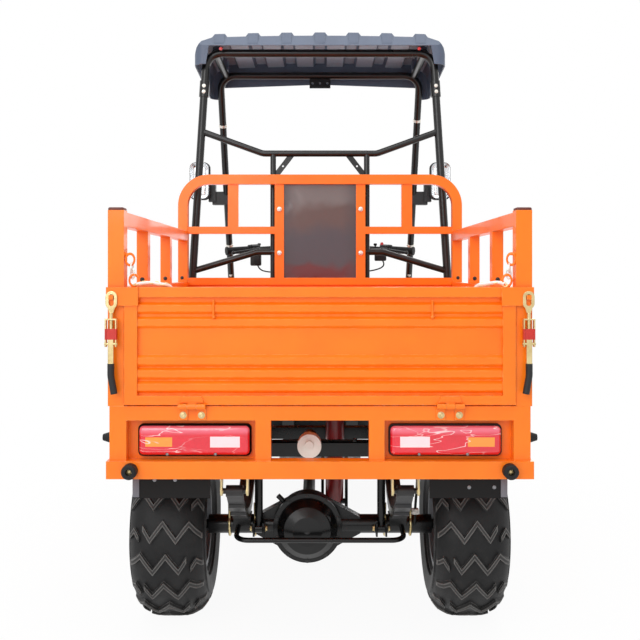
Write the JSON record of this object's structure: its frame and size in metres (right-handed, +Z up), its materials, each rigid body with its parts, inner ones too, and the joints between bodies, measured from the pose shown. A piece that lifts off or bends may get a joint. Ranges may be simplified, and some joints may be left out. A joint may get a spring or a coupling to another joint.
{
  "type": "utility quad bike",
  "caption": "Handlebar-steered utility quad with roll cage and ribbed roof, lugged tyres and a hydraulically tipping drop-side cargo bed with tailgate and headboard.",
  "frame": {"origin": "on the ground, under the middle of the overall length and width", "axes": "+Z up, +Y forward, +X to the machine's right"},
  "size_m": [1.32, 3.06, 2.117],
  "materials": {
    "black_paint": "satin",
    "orange_paint": "gloss",
    "red_paint": "gloss",
    "tyre": "matte",
    "black_rubber": "matte",
    "black_plastic": "satin",
    "gloss_panel": "gloss",
    "orange_plastic": "gloss",
    "lamp_lens": "gloss",
    "headlamp_lens": "gloss",
    "zinc": "satin",
    "steel": "satin",
    "cast_alloy": "satin",
    "seat_cover": "satin",
    "beige_plastic": "satin"
  },
  "bodies": {
    "chassis": {"axle_guard_bar": "black_paint", "cage_cross_bars": "black_paint", "cage_front_hoop": "black_paint", "cage_rail_left": "black_paint", "cage_rail_right": "black_paint", "cage_rear_hoop": "black_paint", "chassis_frame": "black_paint", "engine_block": "cast_alloy", "floor_pan": "black_plastic", "front_arms_left": "black_paint", "front_arms_right": "black_paint", "front_body": "orange_plastic", "front_bumper": "black_paint", "front_strut_left": "black_paint", "front_strut_right": "black_paint", "headlamps": "headlamp_lens", "hydraulic_pack": "beige_plastic", "leaf_spring_left": "black_paint", "leaf_spring_right": "black_paint", "mirror_left": "black_plastic", "mirror_right": "black_plastic", "prop_shaft": "black_paint", "rear_axle": "black_paint", "rear_dampers": "black_paint", "roof": "black_plastic", "seat_backrest": "seat_cover", "seat_base": "black_plastic", "seat_cushion": "seat_cover", "silencer": "black_paint"},
    "bed": {"bed_floor": "orange_paint", "tail_frame": "orange_paint", "corner_posts": "orange_paint", "headboard": "orange_paint", "headboard_panel": "gloss_panel", "tail_lamp_left": "lamp_lens", "tail_lamp_right": "lamp_lens", "bed_buffers": "black_rubber", "mudflaps": "black_rubber"},
    "tailgate": {"tailgate": "orange_paint", "tailgate_latch_left": "zinc", "tailgate_latch_right": "zinc"},
    "side_left": {"drop_side_left": "orange_paint", "stake_rail_left": "orange_paint"},
    "side_right": {"drop_side_right": "orange_paint", "stake_rail_right": "orange_paint"},
    "rear_wheel_left": {"tyre_rear_left": "tyre", "rim_rear_left": "steel"},
    "rear_wheel_right": {"tyre_rear_right": "tyre", "rim_rear_right": "steel"},
    "front_wheel_left": {"tyre_front_left": "tyre", "rim_front_left": "steel"},
    "front_wheel_right": {"tyre_front_right": "tyre", "rim_front_right": "steel"},
    "knuckle_left": {"knuckle_left": "black_paint"},
    "knuckle_right": {"knuckle_right": "black_paint"},
    "steering": {"handlebar": "black_paint", "handlebar_grips": "black_rubber"},
    "track_rod": {"track_rod": "black_paint"},
    "lift_barrel": {"lift_barrel": "red_paint"},
    "lift_rod": {"lift_rod": "steel"}
  },
  "joints": [
    {"name": "rear_left_spin", "type": "hinge", "parent": "chassis", "child": "rear_wheel_left", "pos_m": [-0.46, -1.07, 0.28], "axis": [1, 0, 0], "continuous": true},
    {"name": "rear_right_spin", "type": "hinge", "parent": "chassis", "child": "rear_wheel_right", "pos_m": [0.46, -1.07, 0.28], "axis": [1, 0, 0], "continuous": true},
    {"name": "steer", "type": "hinge", "parent": "chassis", "child": "steering", "pos_m": [0, 0.8, 0.33], "axis": [0, -0.3714, 0.9285], "range_deg": [-32, 32]},
    {"name": "steer_left", "type": "hinge", "parent": "chassis", "child": "knuckle_left", "pos_m": [-0.385, 0.89, 0.28], "axis": [0, 0, 1], "range_deg": [-33, 33]},
    {"name": "steer_right", "type": "hinge", "parent": "chassis", "child": "knuckle_right", "pos_m": [0.385, 0.89, 0.28], "axis": [0, 0, 1], "range_deg": [-33, 33]},
    {"name": "front_left_spin", "type": "hinge", "parent": "knuckle_left", "child": "front_wheel_left", "pos_m": [-0.45, 0.89, 0.28], "axis": [1, 0, 0], "continuous": true},
    {"name": "front_right_spin", "type": "hinge", "parent": "knuckle_right", "child": "front_wheel_right", "pos_m": [0.45, 0.89, 0.28], "axis": [1, 0, 0], "continuous": true},
    {"name": "track_slide", "type": "slide", "parent": "chassis", "child": "track_rod", "axis": [1, 0, 0], "range_m": [-0.075, 0.075]},
    {"name": "bed_tilt", "type": "hinge", "parent": "chassis", "child": "bed", "pos_m": [0, -1.425, 0.545], "axis": [1, 0, 0], "range_deg": [0, 40]},
    {"name": "tailgate_drop", "type": "hinge", "parent": "bed", "child": "tailgate", "pos_m": [0, -1.506, 0.7235], "axis": [1, 0, 0], "range_deg": [0, 170]},
    {"name": "side_left_drop", "type": "hinge", "parent": "bed", "child": "side_left", "pos_m": [-0.6, -0.83, 0.7235], "axis": [0, -1, 0], "range_deg": [0, 170]},
    {"name": "side_right_drop", "type": "hinge", "parent": "bed", "child": "side_right", "pos_m": [0.6, -0.83, 0.7235], "axis": [0, 1, 0], "range_deg": [0, 170]},
    {"name": "lift_swing", "type": "hinge", "parent": "chassis", "child": "lift_barrel", "pos_m": [0.05, -0.86, 0.3], "axis": [1, 0, 0], "range_deg": [-2, 7]},
    {"name": "lift_reach", "type": "slide", "parent": "lift_barrel", "child": "lift_rod", "axis": [0, -0.3624, 0.932], "range_m": [-0.002, 0.3022]}
  ],
  "couplings": [
    {"joint": "steer_left", "follows": "steer", "ratio": 1},
    {"joint": "steer_right", "follows": "steer", "ratio": 1},
    {"joint": "track_slide", "follows": "steer", "m_per_rad": 0.12},
    {"joint": "lift_swing", "follows": "bed_tilt", "ratio": 0.125},
    {"joint": "lift_reach", "follows": "bed_tilt", "m_per_rad": 0.43}
  ]
}
